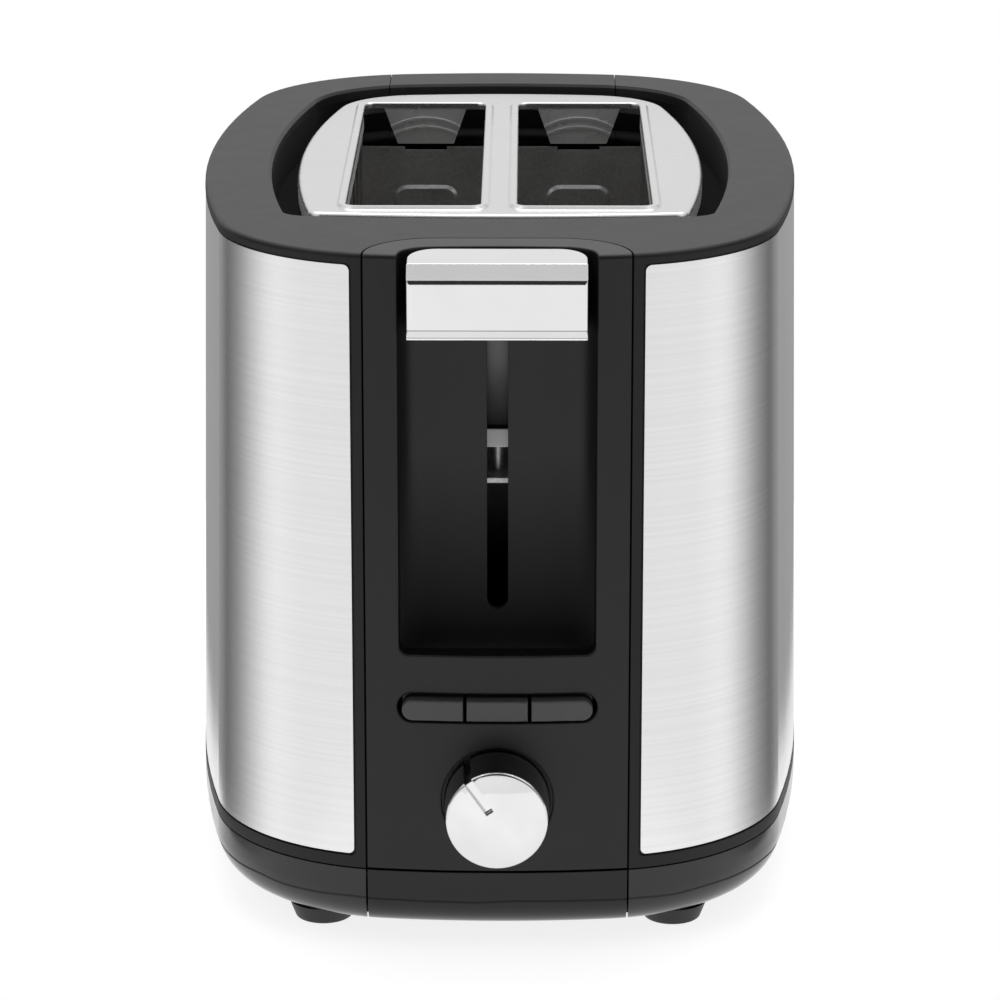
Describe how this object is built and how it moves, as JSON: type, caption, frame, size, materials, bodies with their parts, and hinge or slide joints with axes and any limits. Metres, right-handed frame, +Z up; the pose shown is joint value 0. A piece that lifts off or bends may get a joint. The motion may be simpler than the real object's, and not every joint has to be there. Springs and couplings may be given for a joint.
{
  "type": "pop up toaster",
  "caption": "Oval pop up toaster with brushed steel sides, a dark top ring and front panel, a sprung chrome lever, push buttons and a browning knob.",
  "frame": {"origin": "centre of the footprint's box on the worktop", "axes": "+Z up, +Y from the lever end to the back, +X to the right seen from the lever end"},
  "size_m": [0.172, 0.2784, 0.19],
  "materials": {
    "ring_plastic": "fine moulded texture, dark grey",
    "panel_plastic": "fine moulded texture, near black",
    "base_plastic": "polished black",
    "side_steel": "brushed along the body",
    "plate_metal": "satin silver",
    "chrome_trim": "bright plated",
    "button_plastic": "satin charcoal",
    "foot_rubber": "matte black",
    "chassis_steel": "plain sheet",
    "wire_steel": "plain wire",
    "mica": "heater board",
    "heating_ribbon": "oxidised ribbon",
    "board_laminate": "circuit board",
    "switch_plastic": "black moulding",
    "coil_copper": "wound wire",
    "bush_plastic": "natural nylon"
  },
  "bodies": {
    "body": {"housing": "ring_plastic", "back_panel": "ring_plastic", "front_panel": "panel_plastic", "base": "base_plastic", "front_skirt": "base_plastic", "left_steel_panel": "side_steel", "right_steel_panel": "side_steel", "slot_plate": "plate_metal", "front_left_foot": "foot_rubber", "front_right_foot": "foot_rubber", "rear_left_foot": "foot_rubber", "rear_right_foot": "foot_rubber", "cord_gland": "foot_rubber", "front_chassis": "chassis_steel", "rear_chassis": "chassis_steel", "left_reflector": "chassis_steel", "right_reflector": "chassis_steel", "rod_bridge": "chassis_steel", "magnet_yoke": "chassis_steel", "left_bread_guard": "wire_steel", "right_bread_guard": "wire_steel", "left_guide_rod": "wire_steel", "right_guide_rod": "wire_steel", "left_lift_spring": "wire_steel", "right_lift_spring": "wire_steel", "base_screws": "wire_steel", "board_screws": "wire_steel", "yoke_screws": "wire_steel", "left_heater_board": "mica", "centre_heater_board": "mica", "right_heater_board": "mica", "left_heater_winding": "heating_ribbon", "centre_heater_winding": "heating_ribbon", "right_heater_winding": "heating_ribbon", "control_board": "board_laminate", "key_switches": "switch_plastic", "mains_switch": "switch_plastic", "browning_control": "switch_plastic", "magnet_coil": "coil_copper"},
    "carriage": {"carriage_plate": "chassis_steel", "lever_handle": "chrome_trim", "armature": "chassis_steel", "left_bread_rack": "chassis_steel", "right_bread_rack": "chassis_steel", "left_guide_bush": "bush_plastic", "right_guide_bush": "bush_plastic"},
    "knob": {"browning_knob": "chrome_trim", "knob_shaft": "wire_steel"},
    "left_key": {"left_button": "button_plastic"},
    "middle_key": {"middle_button": "button_plastic"},
    "right_key": {"right_button": "button_plastic"},
    "tray": {"crumb_tray": "chassis_steel", "tray_handle": "base_plastic"}
  },
  "joints": [
    {"name": "lever", "type": "slide", "parent": "body", "child": "carriage", "axis": [0, 0, -1], "range_m": [0, 0.078], "stiffness_N_per_m": 120, "springref_m": -0.05, "deforming": ["left_lift_spring", "right_lift_spring"]},
    {"name": "browning", "type": "hinge", "parent": "body", "child": "knob", "pos_m": [0, -0.13916, 0.0427], "axis": [0, 1, 0], "range_deg": [-105, 175]},
    {"name": "left_press", "type": "slide", "parent": "body", "child": "left_key", "axis": [0, 1, 0], "range_m": [0, 0.0012], "stiffness_N_per_m": 300, "springref_m": -0.002},
    {"name": "middle_press", "type": "slide", "parent": "body", "child": "middle_key", "axis": [0, 1, 0], "range_m": [0, 0.0012], "stiffness_N_per_m": 300, "springref_m": -0.002},
    {"name": "right_press", "type": "slide", "parent": "body", "child": "right_key", "axis": [0, 1, 0], "range_m": [0, 0.0012], "stiffness_N_per_m": 300, "springref_m": -0.002},
    {"name": "tray_pull", "type": "slide", "parent": "body", "child": "tray", "axis": [0, 1, 0], "range_m": [0, 0.15]}
  ]
}
